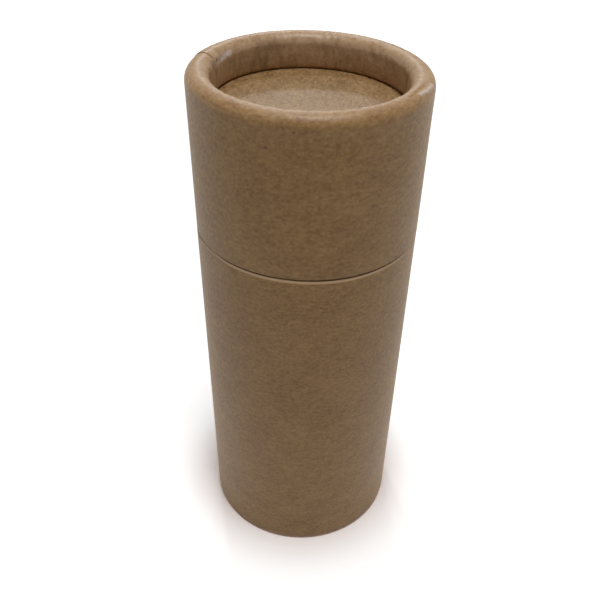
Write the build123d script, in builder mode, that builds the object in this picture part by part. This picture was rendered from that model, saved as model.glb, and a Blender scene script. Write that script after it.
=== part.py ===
from build123d import *
import os

# A cardboard push-up tube: a wound kraft tube that stands on its rolled-in bottom
# rim, a neck tube glued inside it, a paper disc that a finger pushes up through the
# neck, and a lift-off cap whose end disc is trapped in its own rolled-in rim.
# Millimetres, +Z up, origin at the centre of the ring that the tube stands on.

# Outside of the closed tube
tube_diameter = 45.0
body_height = 79.85
seam_gap = 0.3
cap_height = 30.7

# Cap: wound wall, and the pressed board of its end disc
cap_wall = 1.75
cap_disc_board = 0.8
cap_disc_clearance = 0.03
cap_disc_depth = 6.5
cap_flange_headroom = 0.1

# Neck tube, glued into the body and covered by the cap
neck_wall = 1.1
neck_rise = 19.0
cap_clearance = 0.15
glue_line = 0.05

# Rolled-in bottom rim, whose leg carries the neck tube and stops the push disc
base_roll_gap = 0.3
base_leg_depth = 5.5

# Push disc: pressed board with its edge turned down as a skirt
push_board = 1.0
push_skirt_height = 8.0
push_clearance = 0.15

# Full round of the cap's rim, as a share of the roll's width on each side of the crown
rim_round_share = 0.48

# Softened corners: the base that the tube stands on, bent board, and cut edges
base_outer_chamfer = 0.7
base_inner_chamfer = 0.6
bend_outer_chamfer = 0.7
bend_inner_chamfer = 0.3
cut_edge_chamfer = 0.25

# Radii, each from the piece that it fits
tube_radius = tube_diameter / 2
cap_bore_radius = tube_radius - cap_wall
neck_radius = cap_bore_radius - cap_clearance
neck_bore_radius = neck_radius - neck_wall
body_wall = tube_radius - neck_radius - glue_line
base_mouth_radius = tube_radius - 2 * body_wall - base_roll_gap
push_radius = neck_bore_radius - push_clearance
cap_disc_radius = cap_bore_radius - cap_disc_clearance
cap_roll_gap = cap_disc_board + 2 * cap_disc_clearance
cap_leg_radius = cap_bore_radius - cap_roll_gap
cap_mouth_radius = cap_leg_radius - cap_wall
cap_fold_chamfer = cap_roll_gap / 3
rim_round = rim_round_share * (tube_radius - cap_mouth_radius)

# Heights above the ring that the tube stands on
cap_cut_height = body_height + seam_gap
cap_crown_height = cap_cut_height + cap_height
cap_disc_top = cap_crown_height - cap_disc_depth
cap_fold_height = cap_crown_height - cap_wall
cap_flange_top = cap_fold_height - cap_fold_chamfer - cap_flange_headroom
neck_top = body_height + neck_rise
push_disc_top = base_leg_depth + push_skirt_height


def corner_at(section, radius, height):
    """The corner of a section, as it stands now, that is nearest to a radius and a height."""
    return section.vertices().sort_by_distance((radius, height))[0]


def rolled_corners(wall, roll_gap, cut_height, crown_height, leg_end_height):
    """Corners of the half section of a tube wall whose end is rolled inwards.

    The wall runs from its cut edge to the crown, folds over a narrow gap, and comes
    back along itself as a leg.
    """
    towards_cut = 1 if cut_height > crown_height else -1
    fold_height = crown_height + towards_cut * wall
    bore_radius = tube_radius - wall
    leg_radius = bore_radius - roll_gap
    mouth_radius = leg_radius - wall
    return [
        (bore_radius, fold_height),
        (bore_radius, cut_height),
        (tube_radius, cut_height),
        (tube_radius, crown_height),
        (mouth_radius, crown_height),
        (mouth_radius, leg_end_height),
        (leg_radius, leg_end_height),
        (leg_radius, fold_height),
    ]


def pressed_disc_section(radius, board, face_height, edge_height):
    """Half section of a pressed board disc: flat at face_height, its edge turned to edge_height."""
    towards_edge = 1 if edge_height > face_height else -1
    inside_height = face_height + towards_edge * board
    with BuildSketch(Plane.XZ) as section:
        with BuildLine():
            Polyline(
                (0, face_height),
                (radius, face_height),
                (radius, edge_height),
                (radius - board, edge_height),
                (radius - board, inside_height),
                (0, inside_height),
                close=True,
            )
        make_face()
        chamfer(corner_at(section, radius, face_height), bend_outer_chamfer)
        chamfer(corner_at(section, radius - board, inside_height), bend_inner_chamfer)
    return section.sketch


# Outer tube of the body: cut square at the top, rolled in at the bottom
with BuildPart() as body_tube:
    with BuildSketch(Plane.XZ) as body_section:
        with BuildLine():
            Polyline(*rolled_corners(body_wall, base_roll_gap, body_height, 0, base_leg_depth), close=True)
        make_face()
        chamfer(corner_at(body_section, tube_radius, body_height), cut_edge_chamfer)
        chamfer(corner_at(body_section, tube_radius, 0), base_outer_chamfer)
        chamfer(corner_at(body_section, base_mouth_radius, 0), base_inner_chamfer)
    revolve(axis=Axis.Z)

# Neck tube: stands on the leg of the bottom roll and rises out of the body into the cap
with BuildPart() as inner_tube:
    with BuildSketch(Plane.XY.offset(base_leg_depth)):
        Circle(neck_radius)
        Circle(neck_bore_radius, mode=Mode.SUBTRACT)
    extrude(amount=neck_top - base_leg_depth)
    neck_lip = inner_tube.edges().group_by(Axis.Z)[-1].sort_by(SortBy.RADIUS)[-1]
    chamfer(neck_lip, cut_edge_chamfer)

# Push disc: its skirt rests on the leg of the bottom roll and guides it up the neck
with BuildPart() as push_disc:
    revolve(
        pressed_disc_section(push_radius, push_board, push_disc_top, base_leg_depth),
        axis=Axis.Z,
    )

# Outer tube of the cap: rolled in at the top, down to its end disc
with BuildPart() as cap_tube:
    with BuildSketch(Plane.XZ) as cap_section:
        with BuildLine():
            Polyline(
                *rolled_corners(cap_wall, cap_roll_gap, cap_cut_height, cap_crown_height, cap_disc_top),
                close=True,
            )
        make_face()
        fillet(corner_at(cap_section, tube_radius, cap_crown_height), rim_round)
        fillet(corner_at(cap_section, cap_mouth_radius, cap_crown_height), rim_round)
        chamfer(corner_at(cap_section, cap_bore_radius, cap_fold_height), cap_fold_chamfer)
        chamfer(corner_at(cap_section, cap_leg_radius, cap_fold_height), cap_fold_chamfer)
        chamfer(corner_at(cap_section, tube_radius, cap_cut_height), cut_edge_chamfer)
        chamfer(
            corner_at(cap_section, cap_leg_radius, cap_disc_top),
            bend_inner_chamfer + cap_disc_clearance,
        )
    revolve(axis=Axis.Z)

# End disc of the cap: its turned-up edge is held inside the roll, between wall and leg
with BuildPart() as cap_disc:
    revolve(
        pressed_disc_section(
            cap_disc_radius, cap_disc_board, cap_disc_top - cap_disc_board, cap_flange_top
        ),
        axis=Axis.Z,
    )

body_tube.part.label = "body_tube"
inner_tube.part.label = "inner_tube"
push_disc.part.label = "push_disc"
cap_tube.part.label = "cap_tube"
cap_disc.part.label = "cap_disc"

os.makedirs("parts", exist_ok=True)
export_step(body_tube.part, "parts/body_tube.step")
export_step(inner_tube.part, "parts/inner_tube.step")
export_step(push_disc.part, "parts/push_disc.step")
export_step(cap_tube.part, "parts/cap_tube.step")
export_step(cap_disc.part, "parts/cap_disc.step")
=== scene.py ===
# %% [markdown]
# # A cardboard push-up tube
# Two tubes of wound kraft board, one the body and one the cap, each with its end
# rolled inwards like a hem. A neck tube is glued in the body, and a pressed disc in it
# is pushed up with a finger. Every piece is round, so one rule can make them all: draw
# half of its section, and turn that section about the axis. The sizes come from the
# solids, so the paper sits where the board is.

# %% Load the solids
import math
import bmesh
import bpy
import numpy as np
from mathutils import Matrix, Vector


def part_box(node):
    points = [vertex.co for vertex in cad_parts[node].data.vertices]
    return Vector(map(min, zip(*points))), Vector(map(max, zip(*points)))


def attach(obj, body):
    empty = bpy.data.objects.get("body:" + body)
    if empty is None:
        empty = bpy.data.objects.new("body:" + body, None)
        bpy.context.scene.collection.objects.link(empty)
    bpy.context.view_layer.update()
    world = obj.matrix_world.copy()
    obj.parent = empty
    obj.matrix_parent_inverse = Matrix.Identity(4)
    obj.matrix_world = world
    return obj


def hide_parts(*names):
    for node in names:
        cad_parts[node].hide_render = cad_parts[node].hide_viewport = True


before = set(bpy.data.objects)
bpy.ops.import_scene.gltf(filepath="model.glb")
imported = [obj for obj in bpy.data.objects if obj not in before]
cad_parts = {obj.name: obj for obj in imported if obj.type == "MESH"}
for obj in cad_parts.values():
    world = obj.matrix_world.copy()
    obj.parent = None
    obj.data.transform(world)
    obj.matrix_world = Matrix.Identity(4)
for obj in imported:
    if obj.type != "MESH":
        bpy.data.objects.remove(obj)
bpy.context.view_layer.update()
MM = 0.001
print("nodes:", sorted(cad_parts))

# %% [markdown]
# A box tells how wide and high a solid is, but not how thick its wall is. The wall
# shows in the solid's own corners: the smallest and the largest radius at one height.

# %% Measure the walls


def radii_at(node, height):
    """The smallest and the largest radius of a solid's corners at one height."""
    corners = [v.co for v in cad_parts[node].data.vertices]
    radii = [c.xy.length for c in corners if abs(c.z - height) < 0.01 * MM]
    return min(radii), max(radii)


def narrowest(node):
    """The smallest radius of a solid that is open in the middle."""
    return min(v.co.xy.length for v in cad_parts[node].data.vertices)


tube_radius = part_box("body_tube")[1].x
body_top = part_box("body_tube")[1].z
cap_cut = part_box("cap_tube")[0].z
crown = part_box("cap_tube")[1].z
cap_bore = radii_at("cap_tube", cap_cut)[0]
cap_mouth = narrowest("cap_tube")
body_bore = radii_at("body_tube", body_top)[0]
base_mouth = narrowest("body_tube")
neck_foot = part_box("inner_tube")[0].z
neck_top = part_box("inner_tube")[1].z
neck_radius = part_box("inner_tube")[1].x
neck_bore = radii_at("inner_tube", neck_foot)[0]
push_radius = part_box("push_disc")[1].x
push_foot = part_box("push_disc")[0].z
push_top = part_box("push_disc")[1].z
disc_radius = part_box("cap_disc")[1].x
disc_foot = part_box("cap_disc")[0].z
flange_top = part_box("cap_disc")[1].z
roll_width = tube_radius - cap_mouth
print(f"tube {2 * tube_radius / MM:.1f} mm across, {crown / MM:.1f} mm high")
print(f"roll {roll_width / MM:.2f} mm wide")

# %% [markdown]
# The solids say little of how a corner is softened, so those sizes are written here.
# They are the ones that the board has: a hot die leaves the crown of the rim almost
# fully round, and a knife leaves a cut edge almost sharp. In the photo the end disc
# lies a little deeper than in the solids, so its face is set down here, and the end of
# the leg above it follows it down and leans back.

# %% Sizes of the softened corners
cap_wall = tube_radius - cap_bore
body_wall = tube_radius - body_bore
disc_board = 0.8 * MM
push_board = 1.0 * MM
rim_round = 0.48 * roll_width
base_round = 1.0 * MM
cut_round = 0.18 * MM
knife_round = 0.07 * MM
leg_end_round = 0.2 * MM
leg_lean = 0.20 * MM
leg_lean_height = 2.3 * MM
leg_lean_round = 24.0 * MM
leg_foot_round = 1.0 * MM
board_bend = 0.7 * MM
board_bend_inside = 0.3 * MM
disc_sag = 0.40 * MM
disc_face = disc_foot + disc_board - disc_sag
shoulder_depth = 4.0 * MM
print(f"end disc {(crown - disc_face) / MM:.2f} mm below the crown")

# %% [markdown]
# ## One section, turned about the axis
# A section is a list of corners. Each corner is rounded by its own radius, and the
# straight sides between are divided, because only a divided side can be dented or
# pleated later. Every side has marks that travel with its points: whether the paper
# wrap is on it, how hard it was crushed in the roll, which also sets how strongly its
# pleats get painted shade and highlight, how much the die burnished it, which also
# sets how pale it is painted, as painted light and shade, and whether it is a bare cut edge.

# %% Sides and outlines
# Each side has (wrap, crushed, burnished, cut) and the length of its divisions; the burnish mark
# also sets painted light and shade
SIDES = {
    "wall": ((1.0, 0.0, 0.0, 0.0), 1.6 * MM),
    "shoulder": ((1.0, 0.05, 0.2, 0.0), 0.3 * MM),
    "crown": ((1.0, 0.45, 1.0, 0.0), 0.2 * MM),
    # The leg's high burnish mark paints the inner wall paler, as painted light, and the lower mark
    # of its foot paints shade towards the end disc
    "leg": ((1.0, 1.0, 2.8, 0.0), 0.3 * MM),
    "leg foot": ((1.0, 1.0, 1.7, 0.0), 0.3 * MM),
    "flat": ((1.0, 0.0, 0.0, 0.0), 0.9 * MM),
    "bevel": ((0.5, 0.0, 0.0, 0.9), 0.1 * MM),
    "cut": ((0.0, 0.0, 0.0, 1.0), 0.3 * MM),
    "inside": ((0.0, 0.0, 0.0, 0.0), 2.5 * MM),
}
ARC_STEP = math.radians(9)


def rounded(before, corner, after, radius):
    """Points of the arc that rounds a corner, or the corner itself."""
    if radius == 0:
        return [corner.copy()]
    a = (before - corner).normalized()
    b = (after - corner).normalized()
    half = a.angle(b) / 2
    reach = radius / math.tan(half)
    centre = corner + (a + b).normalized() * (radius / math.sin(half))
    start = corner + a * reach - centre
    end = corner + b * reach - centre
    first = math.atan2(start.y, start.x)
    sweep = math.remainder(math.atan2(end.y, end.x) - first, 2 * math.pi)
    steps = max(2, math.ceil(abs(sweep) / ARC_STEP))
    turns = [first + sweep * i / steps for i in range(steps + 1)]
    return [centre + Vector((math.cos(t), math.sin(t))) * radius for t in turns]


def outline(corners, closed):
    """Points round a section of (radius, height, rounding, side after it), and their marks.

    Between two corners stands the name of the side that joins them.
    """
    spots = [Vector(c[:2]) for c in corners]
    count = len(corners)
    points, marks = [], []
    for i, (_, _, radius, side) in enumerate(corners):
        if not closed and i in (0, count - 1):
            arc = [spots[i]]
        else:
            arc = rounded(spots[i - 1], spots[i], spots[(i + 1) % count], radius)
        before = SIDES[corners[i - 1][3]][0]
        after = SIDES[side][0]
        for k, point in enumerate(arc):
            share = 0.5 if len(arc) == 1 else k / (len(arc) - 1)
            points.append(point)
            marks.append([u + (v - u) * share for u, v in zip(before, after)])
        if closed or i < count - 1:
            points.append(side)
            marks.append(list(after))
    return points, marks


def divided(corners, closed):
    """The outline with its sides divided: arrays of points and of their four marks."""
    points, marks = outline(corners, closed)
    solid = [p for p in points if isinstance(p, Vector)]
    full, full_marks, seen = [], [], 0
    for point, mark in zip(points, marks):
        if isinstance(point, Vector):
            full.append(point)
            full_marks.append(mark)
            seen += 1
            continue
        start, end = solid[seen - 1], solid[seen % len(solid)]
        steps = max(1, round((end - start).length / SIDES[point][1]))
        full += [start.lerp(end, k / steps) for k in range(1, steps)]
        full_marks += [mark] * (steps - 1)
    return np.array(full), np.array(full_marks)


def outward(points, closed):
    """The direction that points out of a section, at each of its points."""
    after = np.roll(points, -1, 0)
    before = np.roll(points, 1, 0)
    if not closed:
        after[-1], before[0] = points[-1], points[0]
    along = after - before
    along /= np.linalg.norm(along, axis=1)[:, None]
    return np.stack([along[:, 1], -along[:, 0]], 1)


print("sides:", ", ".join(SIDES))

# %% [markdown]
# Geometry Nodes turn the section. A grid has one column for each step round the axis
# and one row for each point of the section, and each of its points looks up where it
# belongs. Spin would make the same shape, but here the same tree can also lift the
# lapped edge of the wrap, pleat the paper where the roll squeezes it onto a smaller
# circle, and let the wall sway a little, as wound board does.

# %% The helper that adds a node


def put(tree, kind, settings=None, inputs=None):
    """Adds one node. inputs maps a socket's name or number to a value or to another socket."""
    made = tree.nodes.new(kind)
    for name, value in (settings or {}).items():
        setattr(made, name, value)
    for key, value in (inputs or {}).items():
        if isinstance(value, bpy.types.NodeSocket):
            tree.links.new(value, made.inputs[key])
        else:
            made.inputs[key].default_value = value
    return made


# %% [markdown]
# The tree's inputs are the sizes that differ from piece to piece. The lap is where
# the sheet of wrap overlaps itself: the paper there is one layer thicker, and the
# step thins out over the run. Pleats and sway are noise, and the seed moves it.

# %% The tree that turns a section
TURN_INPUTS = (
    ("Section", "NodeSocketGeometry", None),
    ("Steps Around", "NodeSocketInt", 600),
    ("Closed Section", "NodeSocketInt", 1),
    ("Lap Turn", "NodeSocketFloat", 0.0),
    ("Lap Step", "NodeSocketFloat", 0.0),
    ("Lap Run", "NodeSocketFloat", 7 * MM),
    ("Pleat Height", "NodeSocketFloat", 0.0),
    ("Pleat Width", "NodeSocketFloat", 1.6 * MM),
    ("Sway Height", "NodeSocketFloat", 0.0),
    ("Sway Width", "NodeSocketFloat", 14 * MM),
    ("Seed", "NodeSocketFloat", 0.0),
    ("Finish", "NodeSocketMaterial", None),
)
PLEAT_STRETCH = 0.38
SWAY_STRETCH = 0.6
SWAY_IN_FOLDS = 0.8
WELD = 0.002 * MM


def build_turning_tree():
    """The node tree that turns a section of points about the Z axis."""
    tree = bpy.data.node_groups.new("turned_board", "GeometryNodeTree")
    for name, kind, value in TURN_INPUTS:
        socket = tree.interface.new_socket(name, in_out="INPUT", socket_type=kind)
        if value is not None:
            socket.default_value = value
    tree.interface.new_socket("Geometry", in_out="OUTPUT", socket_type="NodeSocketGeometry")
    given = put(tree, "NodeGroupInput").outputs
    section = given["Section"]
    around = given["Steps Around"]

    # Which column and which point of the section a grid point belongs to
    count = put(tree, "GeometryNodeAttributeDomainSize", None,
                {0: section}).outputs["Point Count"]
    rows = put(tree, "ShaderNodeMath", {"operation": "ADD"},
               {0: count, 1: given["Closed Section"]}).outputs[0]
    columns = put(tree, "ShaderNodeMath", {"operation": "ADD"}, {0: around, 1: 2.0}).outputs[0]
    grid = put(tree, "GeometryNodeMeshGrid", None,
               {"Vertices X": columns, "Vertices Y": rows}).outputs["Mesh"]
    index = put(tree, "GeometryNodeInputIndex").outputs[0]
    share = put(tree, "ShaderNodeMath", {"operation": "DIVIDE"}, {0: index, 1: rows}).outputs[0]
    column = put(tree, "ShaderNodeMath", {"operation": "FLOOR"}, {0: share}).outputs[0]
    row = put(tree, "ShaderNodeMath", {"operation": "MODULO"}, {0: index, 1: rows}).outputs[0]
    point = put(tree, "ShaderNodeMath", {"operation": "MODULO"}, {0: row, 1: count}).outputs[0]
    lap_columns = put(tree, "ShaderNodeMath", {"operation": "ADD"},
                      {0: around, 1: 1.0}).outputs[0]
    step = put(tree, "ShaderNodeMath", {"operation": "MODULO"},
               {0: column, 1: lap_columns}).outputs[0]
    turn = put(tree, "ShaderNodeMath", {"operation": "DIVIDE"}, {0: step, 1: around}).outputs[0]
    swept = put(tree, "ShaderNodeMath", {"operation": "MULTIPLY"},
                {0: turn, 1: 2 * math.pi}).outputs[0]
    angle = put(tree, "ShaderNodeMath", {"operation": "SUBTRACT"},
                {0: given["Lap Turn"], 1: swept}).outputs[0]

    # What the section says at that point
    looked = {}
    for name in ("place", "out", "marks"):
        field = put(tree, "GeometryNodeInputNamedAttribute",
                    {"data_type": "FLOAT_VECTOR"}, {"Name": name})
        found = put(tree, "GeometryNodeSampleIndex", {"data_type": "FLOAT_VECTOR"},
                    {"Geometry": section, "Value": field.outputs["Attribute"], "Index": point})
        looked[name] = put(tree, "ShaderNodeSeparateXYZ", None,
                           {0: found.outputs["Value"]}).outputs
    field = put(tree, "GeometryNodeInputNamedAttribute", {"data_type": "FLOAT"}, {"Name": "cut"})
    found = put(tree, "GeometryNodeSampleIndex", {"data_type": "FLOAT"},
                {"Geometry": section, "Value": field.outputs["Attribute"], "Index": point})
    cut = found.outputs["Value"]
    wrapped, squeezed_in, burnished_and_painted_light = (looked["marks"][axis] for axis in "XYZ")

    # The place of the point before anything lifts it
    cosine = put(tree, "ShaderNodeMath", {"operation": "COSINE"}, {0: angle}).outputs[0]
    sine = put(tree, "ShaderNodeMath", {"operation": "SINE"}, {0: angle}).outputs[0]
    spoke = put(tree, "ShaderNodeCombineXYZ", None, {"X": cosine, "Y": sine}).outputs[0]
    flat = put(tree, "ShaderNodeVectorMath", {"operation": "SCALE"},
               {0: spoke, "Scale": looked["place"]["X"]}).outputs[0]
    height = put(tree, "ShaderNodeCombineXYZ", None, {"Z": looked["place"]["Z"]}).outputs[0]
    plain = put(tree, "ShaderNodeVectorMath", {"operation": "ADD"},
                {0: flat, 1: height}).outputs[0]

    # The wrap is one layer thicker from its lapped edge on, and thins out over the run
    arc = put(tree, "ShaderNodeMath", {"operation": "MULTIPLY"},
              {0: swept, 1: tube_radius}).outputs[0]
    gone = put(tree, "ShaderNodeMath", {"operation": "DIVIDE"},
               {0: arc, 1: given["Lap Run"]}).outputs[0]
    left = put(tree, "ShaderNodeMath", {"operation": "SUBTRACT", "use_clamp": True},
               {0: 1.0, 1: gone}).outputs[0]
    layer = put(tree, "ShaderNodeMath", {"operation": "MULTIPLY"},
                {0: left, 1: given["Lap Step"]}).outputs[0]
    lap = put(tree, "ShaderNodeMath", {"operation": "MULTIPLY"}, {0: layer, 1: wrapped}).outputs[0]

    # Pleats stand up and down the roll, so their noise is stretched along Z
    seed = put(tree, "ShaderNodeCombineXYZ", None, {"Z": given["Seed"]}).outputs[0]
    folds = []
    for width, stretch in (
        (given["Pleat Width"], PLEAT_STRETCH),
        (given["Sway Width"], SWAY_STRETCH),
    ):
        squeezed = put(tree, "ShaderNodeVectorMath", {"operation": "MULTIPLY"},
                       {0: plain, 1: (1, 1, stretch)})
        fitted = put(tree, "ShaderNodeVectorMath", {"operation": "DIVIDE"},
                     {0: squeezed.outputs[0], 1: width})
        moved = put(tree, "ShaderNodeVectorMath", {"operation": "ADD"},
                    {0: fitted.outputs[0], 1: seed})
        noise = put(tree, "ShaderNodeTexNoise", None,
                    {"Vector": moved.outputs[0], "Scale": 1.0, "Detail": 1.5})
        fold = put(tree, "ShaderNodeMapRange", None,
                   {"Value": noise.outputs[0], "From Min": 0.25, "From Max": 0.75, "To Min": -1.0})
        folds.append(fold.outputs[0])
    pleats, waves = folds
    pleat = put(tree, "ShaderNodeMath", {"operation": "MULTIPLY"},
                {0: pleats, 1: given["Pleat Height"]}).outputs[0]
    crushed = put(tree, "ShaderNodeMath", {"operation": "MULTIPLY"},
                  {0: pleat, 1: squeezed_in}).outputs[0]
    sway = put(tree, "ShaderNodeMath", {"operation": "MULTIPLY"},
               {0: waves, 1: given["Sway Height"]}).outputs[0]
    swayed = put(tree, "ShaderNodeMath", {"operation": "MULTIPLY"},
                 {0: sway, 1: wrapped}).outputs[0]
    some = put(tree, "ShaderNodeMath", {"operation": "ADD"}, {0: lap, 1: crushed}).outputs[0]
    lift = put(tree, "ShaderNodeMath", {"operation": "ADD"}, {0: some, 1: swayed}).outputs[0]

    # Lift the point along the direction that leaves the board there
    out_flat = put(tree, "ShaderNodeVectorMath", {"operation": "SCALE"},
                   {0: spoke, "Scale": looked["out"]["X"]}).outputs[0]
    out_high = put(tree, "ShaderNodeCombineXYZ", None, {"Z": looked["out"]["Z"]}).outputs[0]
    out = put(tree, "ShaderNodeVectorMath", {"operation": "ADD"},
              {0: out_flat, 1: out_high}).outputs[0]
    raised = put(tree, "ShaderNodeVectorMath", {"operation": "SCALE"},
                 {0: out, "Scale": lift}).outputs[0]
    place = put(tree, "ShaderNodeVectorMath", {"operation": "ADD"},
                {0: plain, 1: raised}).outputs[0]
    turned = put(tree, "GeometryNodeSetPosition", None,
                 {"Geometry": grid, "Position": place}).outputs[0]

    # The paint needs to know where the paper is burnished and painted paler, where its pleats get
    # painted shade and highlight, and where it is cut
    uneven = put(tree, "ShaderNodeMath", {"operation": "MULTIPLY_ADD"},
                 {0: waves, 1: SWAY_IN_FOLDS, 2: pleats}).outputs[0]
    painted_pleat_light = put(tree, "ShaderNodeMath", {"operation": "MULTIPLY"},
                 {0: uneven, 1: squeezed_in}).outputs[0]
    for name, value in (("burnish_and_painted_light", burnished_and_painted_light), ("fold", painted_pleat_light), ("cut", cut)):
        turned = put(tree, "GeometryNodeStoreNamedAttribute",
                     {"data_type": "FLOAT", "domain": "POINT"},
                     {"Geometry": turned, "Name": name, "Value": value}).outputs[0]
    welded = put(tree, "GeometryNodeMergeByDistance", None,
                 {"Geometry": turned, "Distance": WELD}).outputs[0]
    smooth = put(tree, "GeometryNodeSetShadeSmooth", None, {"Geometry": welded}).outputs[0]
    real = put(tree, "GeometryNodeRealizeInstances", None, {"Geometry": smooth}).outputs[0]
    dressed = put(tree, "GeometryNodeSetMaterial", None,
                  {"Geometry": real, "Material": given["Finish"]}).outputs[0]
    put(tree, "NodeGroupOutput", None, {"Geometry": dressed})
    return tree


turning_tree = build_turning_tree()
print("turning tree:", len(turning_tree.nodes), "nodes")

# %% [markdown]
# The section is handed to the tree as a mesh of loose points that carry their marks.
# The result is turned into a plain mesh, its faces are pointed outwards, and edges
# sharper than a soft bend, such as the lap, are kept crisp.

# %% Turn a section into a piece
CRISP = math.radians(48)


def section_mesh(name, points, out, marks):
    """A mesh of loose points that carry where they are, which way is out, and their marks."""
    profile = bpy.data.meshes.new(name + "_section")
    profile.from_pydata([(r, 0, z) for r, z in points], [], [])
    for label, kind, key, values in (
        ("place", "FLOAT_VECTOR", "vector", np.insert(points, 1, 0, 1)),
        ("out", "FLOAT_VECTOR", "vector", np.insert(out, 1, 0, 1)),
        ("marks", "FLOAT_VECTOR", "vector", marks[:, :3]),
        ("cut", "FLOAT", "value", marks[:, 3]),
    ):
        held = profile.attributes.new(label, kind, "POINT")
        held.data.foreach_set(key, values.astype(np.float32).ravel())
    return profile


def turned_piece(name, corners, finish, closed=True, **sizes):
    """A plain mesh object: a section turned about Z by the tree, with its own sizes."""
    points, marks = divided(corners, closed)
    profile = section_mesh(name, points, outward(points, closed), marks)
    maker = bpy.data.objects.new(name + "_maker", profile)
    bpy.context.scene.collection.objects.link(maker)
    modifier = maker.modifiers.new("turned_board", "NODES")
    modifier.node_group = turning_tree
    sizes = {"Closed Section": int(closed), "Finish": finish, **sizes}
    for socket in turning_tree.interface.items_tree:
        if socket.in_out == "INPUT" and socket.name in sizes:
            modifier[socket.identifier] = sizes[socket.name]
    graph = bpy.context.evaluated_depsgraph_get()
    mesh = bpy.data.meshes.new_from_object(
        maker.evaluated_get(graph), preserve_all_data_layers=True, depsgraph=graph
    )
    bpy.data.objects.remove(maker)
    bpy.data.meshes.remove(profile)
    mesh.name = name
    work = bmesh.new()
    work.from_mesh(mesh)
    bmesh.ops.dissolve_degenerate(work, dist=0.001 * MM, edges=work.edges)
    bmesh.ops.recalc_face_normals(work, faces=work.faces)
    work.to_mesh(mesh)
    work.free()
    mesh.set_sharp_from_angle(angle=CRISP)
    piece = bpy.data.objects.new(name, mesh)
    bpy.context.scene.collection.objects.link(piece)
    print(f"{name}: {len(points)} section points, {len(mesh.polygons)} faces")
    return piece


# %% [markdown]
# ## Materials
# Everything is paper, so every surface is rough and none is metal. Colours are
# written as they look on a screen and turned to the linear values that light needs.

# %% Colour helper


def linear(hex_colour):
    """A linear colour with alpha from an sRGB hex colour."""
    levels = [int(hex_colour[i:i + 2], 16) / 255 for i in (1, 3, 5)]
    return (*[v / 12.92 if v <= 0.04045 else ((v + 0.055) / 1.055) ** 2.4 for v in levels], 1.0)


print("kraft brown is", [round(v, 3) for v in linear("#aa844e")[:3]], "in linear light")

# %% [markdown]
# Kraft wrap is unbleached linerboard: long pine fibres, laid along the paper machine,
# that run round the tube, a cloudy formation a few millimetres across, and dark flecks
# of bark. The pattern has to follow the sheet, so it is drawn in sheet coordinates:
# the way round the tube, the height and the radius. The turn is cut where the wrap's
# own lap is, so the pattern breaks where the real sheet ends. A real fibre is about
# 0.03 mm wide, which no pixel shows, so fibres and grain are drawn 0.5 to 0.7 mm wide.

# %% Patterns of kraft board
# Each noise has its size along the fibres, its size across them, and its weight
SHEET = {
    "cloud": (6.5 * MM, 5.0 * MM, 0.20),
    "fibre": (1.6 * MM, 0.72 * MM, 0.30),
    "grain": (0.64 * MM, 0.54 * MM, 0.50),
}

# Each kind of fleck has the cell that may hold one, its largest radius, the share of
# cells that hold none, its strength, and its colour
FLECKS = (
    (3.6 * MM, 0.46 * MM, 0.42, 0.90, "fleck"),
    (1.6 * MM, 0.16 * MM, 0.50, 0.60, "fleck"),
    (3.1 * MM, 0.24 * MM, 0.75, 0.55, "pale"),
)
FLECK_LENGTHENED = 0.7
# The colour of the painted glint, a pale cool reflection on the hardest burnished places
PAINTED_GLINT = "#d2c3bd"
# The width of the painted shadow line at the wrap's lap
PAINTED_LAP_SHADOW_WIDTH = 0.35 * MM
PLY_THICKNESS = 0.38 * MM
# How deep a fold must be for its full painted shade or highlight, and how strong these are
FOLD_FULL = 1.2
PAINTED_PLEAT_LIGHT = 0.45
POLISH = 0.04
ROUGH_SPREAD = 0.08
print("noises:", ", ".join(SHEET), "and", len(FLECKS), "kinds of fleck")

# %% [markdown]
# One function makes every board, because all of them are the same pulp. What differs
# is the sheet's colours, how rough it is, and whether it lies flat or is wound. Paper
# lets light in a little and scatters it, which the sheen at grazing angles stands for.

# %% Kraft board


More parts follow.
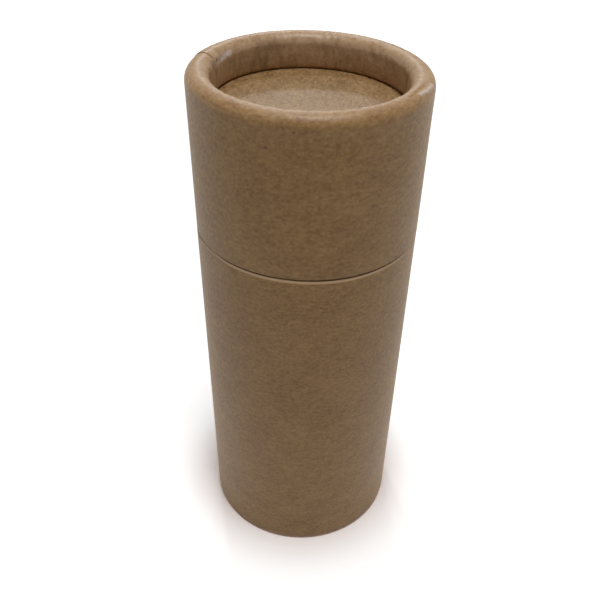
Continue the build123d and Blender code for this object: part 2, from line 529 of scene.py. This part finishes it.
def kraft_board(name, colours, lap_turn=0.0, rough=0.5, flat=False, relief=0.05 * MM):
    """Paper with cloudy formation, fibres and flecks, burnished and cut where it is marked so, and
    painted with light and shade where it is marked so.
    """
    finish = bpy.data.materials.new(name)
    finish.use_nodes = True
    tree = finish.node_tree
    surface = tree.nodes["Principled BSDF"]
    low, high, fleck, pale = (linear(colours[key]) for key in ("low", "high", "fleck", "pale"))

    # Sheet coordinates: the way round, the height and the radius, or plain ones on a disc
    place = put(tree, "ShaderNodeTexCoord").outputs["Object"]
    swung = put(tree, "ShaderNodeVectorRotate", {"rotation_type": "Z_AXIS"},
                {"Vector": place, "Angle": math.pi / 2 if flat else math.pi - lap_turn}).outputs[0]
    parts = put(tree, "ShaderNodeSeparateXYZ", None, {0: swung}).outputs
    way = put(tree, "ShaderNodeMath", {"operation": "ARCTAN2"},
              {0: parts["Y"], 1: parts["X"]}).outputs[0]
    arc = put(tree, "ShaderNodeMath", {"operation": "MULTIPLY"}, {0: way, 1: tube_radius}).outputs[0]
    level = put(tree, "ShaderNodeCombineXYZ", None, {"X": parts["X"], "Y": parts["Y"]}).outputs[0]
    radius = put(tree, "ShaderNodeVectorMath", {"operation": "LENGTH"}, {0: level}).outputs["Value"]
    sheet = put(tree, "ShaderNodeCombineXYZ", None,
                {"X": arc, "Y": parts["Z"], "Z": radius}).outputs[0]
    if flat:
        sheet = swung

    # The cloudy formation, the fibres and the grain lighten and darken the sheet
    noises = {}
    for label, (along, across, _) in SHEET.items():
        spread = put(tree, "ShaderNodeVectorMath", {"operation": "MULTIPLY"},
                     {0: sheet, 1: (1 / along, 1 / across, 1 / across)}).outputs[0]
        noises[label] = put(tree, "ShaderNodeTexNoise", None, {
            "Vector": spread, "Scale": 1.0, "Detail": 2.0, "Roughness": 0.55,
        }).outputs[0]
    depth = None
    for label, (_, _, weight) in SHEET.items():
        part = put(tree, "ShaderNodeMath", {"operation": "MULTIPLY"},
                   {0: noises[label], 1: weight}).outputs[0]
        if depth is None:
            depth = part
        else:
            depth = put(tree, "ShaderNodeMath", {"operation": "ADD"}, {0: depth, 1: part}).outputs[0]
    tone = put(tree, "ShaderNodeMapRange", None,
               {"Value": depth, "From Min": 0.36, "From Max": 0.64}).outputs[0]
    colour = put(tree, "ShaderNodeMix", {"data_type": "RGBA"},
                 {"Factor": tone, 6: low, 7: high}).outputs[2]

    # Bark flecks: one cell in a few holds one, and its size differs from cell to cell
    for cell, size, rare, strength, tint in FLECKS:
        spread = put(tree, "ShaderNodeVectorMath", {"operation": "MULTIPLY"},
                     {0: sheet, 1: (FLECK_LENGTHENED / cell, 1 / cell, 1 / cell)}).outputs[0]
        spots = put(tree, "ShaderNodeTexVoronoi", {"feature": "F1"},
                    {"Vector": spread, "Scale": 1.0, "Randomness": 1.0}).outputs
        chance = put(tree, "ShaderNodeSeparateColor", None, {0: spots["Color"]}).outputs[0]
        reach = put(tree, "ShaderNodeMapRange", None, {
            "Value": chance, "From Min": rare, "From Max": 1.0, "To Min": 0.0, "To Max": size / cell,
        }).outputs[0]
        inside = put(tree, "ShaderNodeMath", {"operation": "SUBTRACT"},
                     {0: reach, 1: spots["Distance"]}).outputs[0]
        mask = put(tree, "ShaderNodeMapRange", None, {
            "Value": inside, "From Min": 0.0, "From Max": 0.25 * size / cell, "To Max": strength,
        }).outputs[0]
        colour = put(tree, "ShaderNodeMix", {"data_type": "RGBA"},
                     {"Factor": mask, 6: colour, 7: linear(colours[tint])}).outputs[2]

    burnish_and_painted_light = put(tree, "ShaderNodeAttribute", {"attribute_name": "burnish_and_painted_light"}).outputs["Fac"]

    # Painted shadow: a dark hairline where the lapped edge of the wrap casts its shadow on the side
    # that it steps down to, fainter on the crown
    if lap_turn:
        start = -math.pi * tube_radius
        painted_lap_shadow = put(tree, "ShaderNodeMapRange", None, {
            "Value": arc, "From Min": start, "From Max": start + PAINTED_LAP_SHADOW_WIDTH,
            "To Min": 0.5, "To Max": 0.0,
        }).outputs[0]
        shown = put(tree, "ShaderNodeMapRange", None, {
            "Value": burnish_and_painted_light, "From Min": 1.0, "From Max": 1.4, "To Min": 1.0, "To Max": 0.25,
        }).outputs[0]
        painted_lap_shadow = put(tree, "ShaderNodeMath", {"operation": "MULTIPLY"},
                      {0: painted_lap_shadow, 1: shown}).outputs[0]
        colour = put(tree, "ShaderNodeMix", {"data_type": "RGBA"},
                     {"Factor": painted_lap_shadow, 6: colour, 7: fleck}).outputs[2]

    # Where the paper is marked burnished it is painted paler: partly the die's burnish, and partly
    # painted light that brightens the crown and the inner wall
    varied = put(tree, "ShaderNodeMapRange", None,
                 {"Value": tone, "To Min": 0.20, "To Max": 0.32}).outputs[0]
    paler_burnish_and_painted_light = put(tree, "ShaderNodeMath", {"operation": "MULTIPLY"},
                {0: burnish_and_painted_light, 1: varied}).outputs[0]
    colour = put(tree, "ShaderNodeMix", {"data_type": "RGBA"},
                 {"Factor": paler_burnish_and_painted_light, 6: colour, 7: pale}).outputs[2]

    # Painted shade in the hollows of the pleats that the roll presses into the wrap, and painted
    # highlight on their tops
    fold = put(tree, "ShaderNodeAttribute", {"attribute_name": "fold"}).outputs["Fac"]
    for deep, tint in ((-FOLD_FULL, fleck), (FOLD_FULL, pale)):
        crease = put(tree, "ShaderNodeMapRange", None, {
            "Value": fold, "From Min": 0.1 * deep, "From Max": deep, "To Max": PAINTED_PLEAT_LIGHT,
        })
        colour = put(tree, "ShaderNodeMix", {"data_type": "RGBA"},
                     {"Factor": crease.outputs[0], 6: colour, 7: tint}).outputs[2]

    # The crushed strip and the ridge beside the crease get a painted glint, a pale cool reflection,
    # but only on the tops of the grain
    crushed = put(tree, "ShaderNodeMapRange", None,
                  {"Value": burnish_and_painted_light, "From Min": 3.1, "From Max": 4.9}).outputs[0]
    broken = put(tree, "ShaderNodeMapRange", None, {
        "Value": noises["grain"], "From Min": 0.36, "From Max": 0.62, "To Min": 0.35, "To Max": 1.0,
    }).outputs[0]
    crushed = put(tree, "ShaderNodeMath", {"operation": "MULTIPLY"},
                  {0: crushed, 1: broken}).outputs[0]
    colour = put(tree, "ShaderNodeMix", {"data_type": "RGBA"},
                 {"Factor": crushed, 6: colour, 7: linear(PAINTED_GLINT)}).outputs[2]

    # The sheet is unevenly rough, and smoother where it is burnished
    uneven = put(tree, "ShaderNodeMapRange", None, {
        "Value": noises["fibre"],
        "To Min": rough - ROUGH_SPREAD, "To Max": rough + ROUGH_SPREAD,
    }).outputs[0]
    polish = put(tree, "ShaderNodeMath", {"operation": "MULTIPLY"},
                 {0: burnish_and_painted_light, 1: POLISH}).outputs[0]
    smooth = put(tree, "ShaderNodeMath", {"operation": "SUBTRACT"},
                 {0: uneven, 1: polish}).outputs[0]

    # A cut edge shows the plies of the board as fine rings round the axis
    ply = put(tree, "ShaderNodeMath", {"operation": "MULTIPLY"},
              {0: radius, 1: 2 * math.pi / PLY_THICKNESS}).outputs[0]
    ring = put(tree, "ShaderNodeMath", {"operation": "SINE"}, {0: ply}).outputs[0]
    line = put(tree, "ShaderNodeMapRange", None,
               {"Value": ring, "From Min": 0.2, "From Max": 1.0}).outputs[0]
    edge = put(tree, "ShaderNodeMix", {"data_type": "RGBA"},
               {"Factor": line, 6: pale, 7: high}).outputs[2]
    cut = put(tree, "ShaderNodeAttribute", {"attribute_name": "cut"}).outputs["Fac"]
    colour = put(tree, "ShaderNodeMix", {"data_type": "RGBA"},
                 {"Factor": cut, 6: colour, 7: edge}).outputs[2]

    # Fibres stand a few hundredths of a millimetre out of the sheet
    raised = put(tree, "ShaderNodeMath", {"operation": "ADD"},
                 {0: noises["fibre"], 1: noises["grain"]}).outputs[0]
    bump = put(tree, "ShaderNodeBump", None,
               {"Strength": 0.7, "Distance": relief, "Height": raised}).outputs[0]
    tree.links.new(colour, surface.inputs["Base Color"])
    tree.links.new(smooth, surface.inputs["Roughness"])
    tree.links.new(bump, surface.inputs["Normal"])
    surface.inputs["IOR"].default_value = 1.5
    surface.inputs["Sheen Weight"].default_value = 0.2
    surface.inputs["Sheen Tint"].default_value = linear("#f0d2a4")
    print(f"{name}: {len(tree.nodes)} nodes")
    return finish


# %% [markdown]
# Cap and body wear the same kraft wrap, each with its lap at its own place. In the
# photo the cap's lap is a fine line across the rim at the left. The body's is out of
# view, so it is put at the back. The other boards carry no wrap, and the same function
# makes them from their own colours.

# %% Boards of the tube
# Calendered kraft wrap: warm brown with a faint sheen, because rollers pressed it smooth
WRAP_COLOURS = {"low": "#784d13", "high": "#aa844e", "fleck": "#54300f", "pale": "#c3a585"}
cap_lap_turn = math.radians(165.5)
body_lap_turn = math.radians(52)
cap_wrap = kraft_board("cap_kraft_wrap", WRAP_COLOURS, cap_lap_turn)
body_wrap = kraft_board("body_kraft_wrap", WRAP_COLOURS, body_lap_turn)

# Core board: the same pulp without a wrap, so it looks paler and greyer
CORE_COLOURS = {"low": "#8a653d", "high": "#b08a5c", "fleck": "#45311f", "pale": "#c6a67c"}
neck_liner = kraft_board("neck_kraft_board", CORE_COLOURS)

# Uncoated core board, punched flat: duller still, because nothing has smoothed it
plain_board = kraft_board("plain_kraft_board", CORE_COLOURS, rough=0.8, flat=True)

# Pressed kraft board: felt marks from the press leave it coarse and mottled
PRESSED_COLOURS = {"low": "#6b4b22", "high": "#a3835a", "fleck": "#6a4a28", "pale": "#b8976c"}
pressed = kraft_board("pressed_kraft_board", PRESSED_COLOURS, flat=True, relief=0.14 * MM)

# %% [markdown]
# ## The cap
# The wall climbs from its cut edge to the crown, folds over, and comes down inside as
# a leg onto the end disc. The paper is on the wall, the crown and the leg. The end
# disc is a shallow dish whose turned-up edge is trapped in the fold, so it needs no
# glue. Its section is open, because it starts and ends on the axis.

# %% Cap tube and its end disc
PAPER_LAP = 0.11 * MM
leg_back = cap_mouth + cap_wall
fold_height = crown - cap_wall
cap_corners = [
    (cap_bore, cap_cut, knife_round, "cut"),
    (tube_radius, cap_cut, knife_round, "wall"),
    (tube_radius, crown - shoulder_depth, 0, "shoulder"),
    (tube_radius, crown, rim_round, "crown"),
    (cap_mouth, crown, rim_round, "leg"),
    (cap_mouth, disc_face + leg_lean_height, leg_lean_round, "leg foot"),
    (cap_mouth + leg_lean, disc_face, leg_foot_round, "inside"),
    (leg_back, disc_face, leg_end_round, "inside"),
    (leg_back, fold_height, leg_end_round, "inside"),
    (cap_bore, fold_height, leg_end_round, "inside"),
]
cap_piece = turned_piece("cap_wound_tube", cap_corners, cap_wrap, **{
    "Steps Around": 720, "Lap Turn": cap_lap_turn, "Lap Step": PAPER_LAP,
    "Pleat Height": 0.10 * MM, "Pleat Width": 1.35 * MM, "Sway Height": 0.04 * MM, "Seed": 3.0,
})
disc_corners = [
    (0, disc_foot - disc_sag, 0, "flat"),
    (disc_radius, disc_foot - disc_sag, board_bend, "flat"),
    (disc_radius, flange_top, 0, "cut"),
    (disc_radius - disc_board, flange_top, 0, "flat"),
    (disc_radius - disc_board, disc_face, board_bend_inside, "flat"),
    (0, disc_face, 0, "flat"),
]
disc_piece = turned_piece("cap_end_disc", disc_corners, pressed, closed=False, **{
    "Steps Around": 240, "Sway Height": 0.02 * MM, "Seed": 8.0,
})

# %% [markdown]
# ## The body, its neck and the push disc
# The body is the cap's twin turned upside down, with a longer wall. Its foot is raised
# by the thickness of the lapped paper and a hair, so that neither the lap nor a pleat
# dips into the ground. Its cut edge has a small bevel on the outside, where the knife
# pressed the wrap down.

# %% Body tube
base_leg_back = base_mouth + body_wall
stand = PAPER_LAP + 0.02 * MM
bevel_height = 0.50 * MM
bevel_depth = 0.18 * MM
bevel_round = 0.15 * MM
bevel_top_round = 0.06 * MM
body_corners = [
    (body_bore, body_top, cut_round, "inside"),
    (body_bore, body_wall, 0, "inside"),
    (base_leg_back, body_wall, 0, "inside"),
    (base_leg_back, neck_foot, leg_end_round, "cut"),
    (base_mouth, neck_foot, leg_end_round, "leg"),
    (base_mouth, stand, base_round, "crown"),
    (tube_radius, stand, base_round, "shoulder"),
    (tube_radius, shoulder_depth, 0, "wall"),
    (tube_radius, body_top - bevel_height, bevel_round, "bevel"),
    (tube_radius - bevel_depth, body_top, bevel_top_round, "cut"),
]
body_piece = turned_piece("body_wound_tube", body_corners, body_wrap, **{
    "Steps Around": 500, "Lap Turn": body_lap_turn, "Lap Step": PAPER_LAP,
    "Pleat Height": 0.05 * MM, "Seed": 5.0,
})

# %% [markdown]
# The neck is a plain thin tube without a wrap, and the push disc is pressed board with
# its edge turned down as a skirt. Both are hidden while the tube is closed, but they
# show once the cap is lifted, so they are turned by the same tree as the rest.

# %% Neck tube and push disc
neck_corners = [
    (neck_bore, neck_foot, 0, "cut"),
    (neck_radius, neck_foot, 0, "wall"),
    (neck_radius, neck_top, cut_round, "cut"),
    (neck_bore, neck_top, cut_round, "wall"),
]
neck_piece = turned_piece("neck_wound_tube", neck_corners, neck_liner, **{"Steps Around": 360})
push_corners = [
    (0, push_top, 0, "flat"),
    (push_radius, push_top, board_bend, "flat"),
    (push_radius, push_foot, 0, "cut"),
    (push_radius - push_board, push_foot, 0, "flat"),
    (push_radius - push_board, push_top - push_board, board_bend_inside, "flat"),
    (0, push_top - push_board, 0, "flat"),
]
push_piece = turned_piece(
    "push_up_disc", push_corners, plain_board, closed=False, **{"Steps Around": 240}
)

# %% [markdown]
# A rolled rim is never perfect. On the crown at the right the paper has a crease,
# painted darker as shade, with a ridge beside it that is painted pale with a glint. On
# the inner shoulder beside the lap the die left a crushed, shiny strip that is painted
# with a pale glint, and two folds run down from it that are painted darker as shade.
# Sculpting could make these, but a script can give their place: each is a soft dent or
# ridge along a path, so the points near the path move along their normals, and the same
# share of them is marked as more or less burnished, which paints them paler or darker.

# %% Press the creases of the cap
# Each has a path of (azimuth, radius, height) in degrees and millimetres, then its
# depth and its half width in millimetres, and how much it adds to the burnish mark,
# which paints it paler as painted highlight, or darker as painted shade below zero
CREASES = {
    "dark crease": ([(-38, 20.8, 110.83), (-29, 20.7, 110.84), (-21, 20.8, 110.83)],
                    0.18, 0.24, -1.5),
    "ridge with painted glint": ([(-31, 21.35, 110.63), (-24, 21.6, 110.48), (-15, 21.8, 110.3)],
                     -0.10, 0.36, 4.5),
    "crushed strip": ([(165, 18.2, 109.0), (156, 18.2, 109.25), (147, 18.3, 109.6)],
                      0.14, 0.48, 3.5),
    "fold at the lap": ([(162.5, 18.2, 109.4), (163.5, 18.15, 107.4)], 0.14, 0.22, -2.5),
    "second fold": ([(158.0, 18.2, 108.9), (159.0, 18.15, 107.0)], 0.10, 0.20, -2.0),
}


def press(piece, path, depth, width, added_burnish_and_painted_light):
    """Dents a piece by depth, softly over width, along a path of (azimuth, radius, height)."""
    mesh = piece.data
    count = len(mesh.vertices)
    spots = np.empty(3 * count, np.float32)
    normals = np.empty(3 * count, np.float32)
    mesh.vertices.foreach_get("co", spots)
    mesh.vertices.foreach_get("normal", normals)
    spots = spots.reshape(-1, 3)
    normals = normals.reshape(-1, 3)
    turns = np.radians([azimuth for azimuth, _, _ in path])
    line = [(r * math.cos(t), r * math.sin(t), z) for t, (_, r, z) in zip(turns, path)]
    line = np.array(line) * MM
    near = np.full(count, np.inf)
    for start, end in zip(line[:-1], line[1:]):
        along = end - start
        share = np.clip((spots - start) @ along / (along @ along), 0, 1)
        near = np.minimum(near, np.linalg.norm(spots - start - share[:, None] * along, axis=1))
    share = np.exp(-((near / width) ** 2)).astype(np.float32)
    spots -= normals * (depth * share)[:, None]
    mesh.vertices.foreach_set("co", spots.ravel())
    # The same share adds to the burnish mark: above zero it paints the dent paler as painted
    # highlight, below zero darker as painted shade
    burnish_and_painted_light = np.empty(count, np.float32)
    mesh.attributes["burnish_and_painted_light"].data.foreach_get("value", burnish_and_painted_light)
    mesh.attributes["burnish_and_painted_light"].data.foreach_set("value", burnish_and_painted_light + added_burnish_and_painted_light * share)
    mesh.update()
    return np.count_nonzero(share > 0.1)


for label, (path, depth, width, added_burnish_and_painted_light) in CREASES.items():
    pressed_points = press(cap_piece, path, depth * MM, width * MM, added_burnish_and_painted_light)
    print(f"{label}: {pressed_points} points of the cap")

# %% [markdown]
# The knife did not cut the body quite square, so its edge stands nearer to the cap in
# some places than in others. The dark gap between them gets thin where the edge
# swells up, and at the far left it opens into a small notch. At the front left a trace
# is shaved off the outside too.

# %% Lift the body's cut edge
# Each swell or shave has its azimuth and its spread in degrees, and its amount
EDGE_SWELLS = (
    (-142, 11, 0.17 * MM),
    (-167, 12, -0.45 * MM),
    (-20, 14, 0.16 * MM),
    (100, 30, 0.08 * MM),
    (-68, 22, -0.10 * MM),
)
EDGE_SHAVES = ((-108, 26, 0.03 * MM),)
SWELL_FADE = 2.5 * MM
SHAVE_FADE = 0.6 * MM


def bell(azimuths, centre, spread):
    """A soft bell over the azimuth: 1 at its centre, and almost 0 two spreads away."""
    away = (azimuths - centre + 180) % 360 - 180
    return np.exp(-((away / spread) ** 2))


def lift_edge(piece):
    """Moves the top edge of the body up by its swells, and its outside in by its shaves."""
    mesh = piece.data
    spots = np.empty(3 * len(mesh.vertices), np.float32)
    mesh.vertices.foreach_get("co", spots)
    spots = spots.reshape(-1, 3)
    azimuths = np.degrees(np.arctan2(spots[:, 1], spots[:, 0]))
    share = np.clip((spots[:, 2] - body_top + SWELL_FADE) / SWELL_FADE, 0, 1)
    shaved = np.clip((spots[:, 2] - body_top + SHAVE_FADE) / SHAVE_FADE, 0, 1)
    shaved[np.hypot(spots[:, 0], spots[:, 1]) < (body_bore + tube_radius) / 2] = 0
    for centre, spread, lift in EDGE_SWELLS:
        spots[:, 2] += share * lift * bell(azimuths, centre, spread)
    for centre, spread, depth in EDGE_SHAVES:
        inwards = shaved * depth * bell(azimuths, centre, spread) / tube_radius
        spots[:, :2] *= 1 - inwards[:, None]
    mesh.vertices.foreach_set("co", spots.ravel())
    mesh.update()
    edge = spots[share > 0.99, 2] / MM
    print(f"{piece.name}: cut edge between {edge.min():.2f} and {edge.max():.2f} mm up")


lift_edge(body_piece)

# %% [markdown]
# The cap fits its neck with a little play, and in the photo it sits a hair to the back,
# so the front of the body's cut edge stands out from under it and catches the light.

# %% Let the cap sit a hair off centre
CAP_OFF_CENTRE = Vector((0.03 * MM, 0.12 * MM, 0))
for piece in (cap_piece, disc_piece):
    piece.data.transform(Matrix.Translation(CAP_OFF_CENTRE))
print(f"cap moved by {CAP_OFF_CENTRE.length / MM:.2f} mm")

# %% [markdown]
# ## Fix the pieces to the solids
# Each piece stands for its solid and moves with that solid's body.

# %% Ride and replace
for piece, node, body, slot in (
    (cap_piece, "cap_tube", "cap", "kraft_wrap"),
    (disc_piece, "cap_disc", "cap", "pressed_board"),
    (body_piece, "body_tube", "base", "kraft_wrap"),
    (neck_piece, "inner_tube", "base", "neck_board"),
    (push_piece, "push_disc", "pusher", "pressed_board"),
):
    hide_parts(node)
    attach(piece, body)
    print(f"{piece.name} rides on {body}")

# %% [markdown]
# ## Floor, light and camera
# The tube stands on white. Brighter lamps would make the ground white too, but they
# would bleach the board. So the rays that only look at the ground, straight or in a
# mirror or through glass, are told apart from those that carry its light to the tube.

# %% Rays that only look


def looking_rays(tree):
    """A socket that is 1 for rays that show the background as such, and 0 for the others."""
    rays = put(tree, "ShaderNodeLightPath").outputs
    seen = put(tree, "ShaderNodeMath", {"operation": "MAXIMUM"},
               {0: rays["Is Camera Ray"], 1: rays["Is Glossy Ray"]}).outputs[0]
    return put(tree, "ShaderNodeMath", {"operation": "MAXIMUM"},
               {0: seen, 1: rays["Is Transmission Ray"]}).outputs[0]


# %% [markdown]
# The camera sees the floor as a paint that glows nearly white and dims close under the
# tube, so a soft shade is left at its foot. The light that the floor sends to the tube
# is only that of pale paper. Seen from below, the floor is clear, so that the bottom
# rim can be looked at.

# %% Floor
FLOOR_REACH = 3.0
FLOOR_PAPER = 0.76
GLOW_NEAR = 0.42
GLOW_FAR = 0.95
GLOW_FROM = 0.12
GLOW_TO = 0.7
CONTACT_REACH = 14 * MM
CONTACT_TINT = "#7a5545"
OPEN_FROM = 0.60
OPEN_TO = 0.98


def build_floor(reach):
    """A wide pale floor that the camera sees nearly white."""
    mesh = bpy.data.meshes.new("floor")
    corners = [(-reach, -reach, 0), (reach, -reach, 0), (reach, reach, 0), (-reach, reach, 0)]
    mesh.from_pydata(corners, [], [(0, 1, 2, 3)])
    floor = bpy.data.objects.new("floor", mesh)
    bpy.context.scene.collection.objects.link(floor)
    finish = bpy.data.materials.new("floor_white")
    finish.use_nodes = True
    tree = finish.node_tree
    paint = tree.nodes["Principled BSDF"]
    paint.inputs["Roughness"].default_value = 0.9
    seen = looking_rays(tree)

    # The glow grows away from the tube
    place = put(tree, "ShaderNodeTexCoord").outputs["Object"]
    away = put(tree, "ShaderNodeVectorMath", {"operation": "LENGTH"}, {0: place}).outputs["Value"]
    fade = put(tree, "ShaderNodeMapRange", {"interpolation_type": "SMOOTHSTEP"}, {
        "Value": away, "From Min": GLOW_FROM, "From Max": GLOW_TO,
        "To Min": GLOW_NEAR, "To Max": GLOW_FAR,
    }).outputs[0]
    level = put(tree, "ShaderNodeMath", {"operation": "MULTIPLY"}, {0: seen, 1: fade}).outputs[0]

    # Close to the tube's foot the glow takes the brown that the board throws on it
    open_air = put(tree, "ShaderNodeAmbientOcclusion", {"samples": 16},
                   {"Distance": CONTACT_REACH}).outputs["AO"]
    lit = put(tree, "ShaderNodeMapRange", None,
              {"Value": open_air, "From Min": OPEN_FROM, "From Max": OPEN_TO}).outputs[0]
    tint = put(tree, "ShaderNodeMix", {"data_type": "RGBA"},
               {"Factor": lit, 6: linear(CONTACT_TINT), 7: (1, 1, 1, 1)}).outputs[2]
    glow = put(tree, "ShaderNodeEmission", None, {"Color": tint, "Strength": level}).outputs[0]
    white = put(tree, "ShaderNodeMapRange", None,
                {"Value": seen, "To Min": FLOOR_PAPER, "To Max": 1.0}).outputs[0]
    tree.links.new(white, paint.inputs["Base Color"])
    both = put(tree, "ShaderNodeAddShader", None, {0: paint.outputs[0], 1: glow}).outputs[0]

    # From below the floor is clear
    below = put(tree, "ShaderNodeNewGeometry").outputs["Backfacing"]
    clear = put(tree, "ShaderNodeBsdfTransparent").outputs[0]
    one_sided = put(tree, "ShaderNodeMixShader", None, {0: below, 1: both, 2: clear}).outputs[0]
    tree.links.new(one_sided, tree.nodes["Material Output"].inputs["Surface"])
    mesh.materials.append(finish)
    print(f"floor: {2 * reach:.0f} m wide")


build_floor(FLOOR_REACH)

# %% [markdown]
# The world sends little light, so that the shade on the walls stays, but it is white
# where it is seen or mirrored, as a white room would be.

# %% World
SKY_LEVEL = 0.06


def build_world():
    """White all round: SKY_LEVEL as light, and full white where it is seen or mirrored."""
    world = bpy.data.worlds.new("white_room")
    bpy.context.scene.world = world
    world.use_nodes = True
    tree = world.node_tree
    sky = tree.nodes["Background"]
    sky.inputs["Color"].default_value = (1, 1, 1, 1)
    level = put(tree, "ShaderNodeMapRange", None,
                {"Value": looking_rays(tree), "To Min": SKY_LEVEL, "To Max": 1.0}).outputs[0]
    tree.links.new(level, sky.inputs["Strength"])
    print(f"world: {SKY_LEVEL} as light")


build_world()

# %% [markdown]
# The main light comes from a broad lamp just in front of straight above, so the rim is
# bright and the front of the walls is in soft shade. Two small lamps behind the tube
# put the highlight on the crown, and with them the rim's shadows draw two steps on the
# end disc. A weak lamp in front fills the shade a little.

# %% Lamps
# Each lamp has its direction from the rim, its width in metres, and its power in watts
LAMPS = (
    ("low_back_lamp", (-0.08, 1.86, 1.0), 0.045, 0.44),
    ("high_back_lamp", (-0.17, 0.68, 1.0), 0.05, 0.62),
    ("overhead_lamp", (0.045, -0.153, 1.0), 0.20, 3.25),
    ("front_top_lamp", (0.3, -0.8, 1.0), 0.25, 0.15),
)
LAMP_REACH = 0.7
rim_centre = Vector((0, 0, crown))


def add_lamp(name, aim, spot, width, watts):
    """A soft round lamp at spot that faces aim."""
    data = bpy.data.lights.new(name, "AREA")
    data.shape = "DISK"
    data.size = width
    data.energy = watts
    lamp = bpy.data.objects.new(name, data)
    bpy.context.scene.collection.objects.link(lamp)
    lamp.location = spot
    lamp.rotation_mode = "QUATERNION"
    lamp.rotation_quaternion = (Vector(aim) - Vector(spot)).to_track_quat("-Z", "Y")


for label, way, width, watts in LAMPS:
    add_lamp(label, rim_centre, rim_centre + Vector(way).normalized() * LAMP_REACH, width, watts)
    print(f"{label}: {watts} W")

# %% [markdown]
# The photo was taken by hand from close above, so the tube narrows strongly downwards.
# The camera's place, tilt and lens were worked out together from the outlines of the
# rim, the seam and the base. The same fit says that the picture was cropped off its
# centre, which the lens shift repeats.

# %% Camera
CAMERA_BACK = 127.24 * MM
CAMERA_UP = 155.02 * MM
TILT_DOWN = math.radians(39.961)
TURN_LEFT = math.radians(-2.089)
ROLL = math.radians(2.729)
LENS = 42.428
SENSOR = 36.0
SHIFT_RIGHT = -0.0403
SHIFT_UP = 0.06


def build_camera():
    """The camera where the photo was taken, looking down at the tube."""
    data = bpy.data.cameras.new("camera")
    data.sensor_width = SENSOR
    data.lens = LENS
    data.shift_x = SHIFT_RIGHT
    data.shift_y = SHIFT_UP
    data.clip_start = 0.01
    camera = bpy.data.objects.new("camera", data)
    bpy.context.scene.collection.objects.link(camera)
    ahead = Vector((
        -math.sin(TURN_LEFT) * math.cos(TILT_DOWN),
        math.cos(TURN_LEFT) * math.cos(TILT_DOWN),
        -math.sin(TILT_DOWN),
    ))
    level = Vector((math.cos(TURN_LEFT), math.sin(TURN_LEFT), 0))
    above = level.cross(ahead)
    right = level * math.cos(ROLL) + above * math.sin(ROLL)
    up = above * math.cos(ROLL) - level * math.sin(ROLL)
    turn = Matrix((right, up, -ahead)).transposed().to_4x4()
    camera.matrix_world = Matrix.Translation((0, -CAMERA_BACK, CAMERA_UP)) @ turn
    bpy.context.scene.camera = camera
    print(f"camera: {LENS} mm lens")


build_camera()
bpy.context.scene.view_settings.view_transform = "Standard"
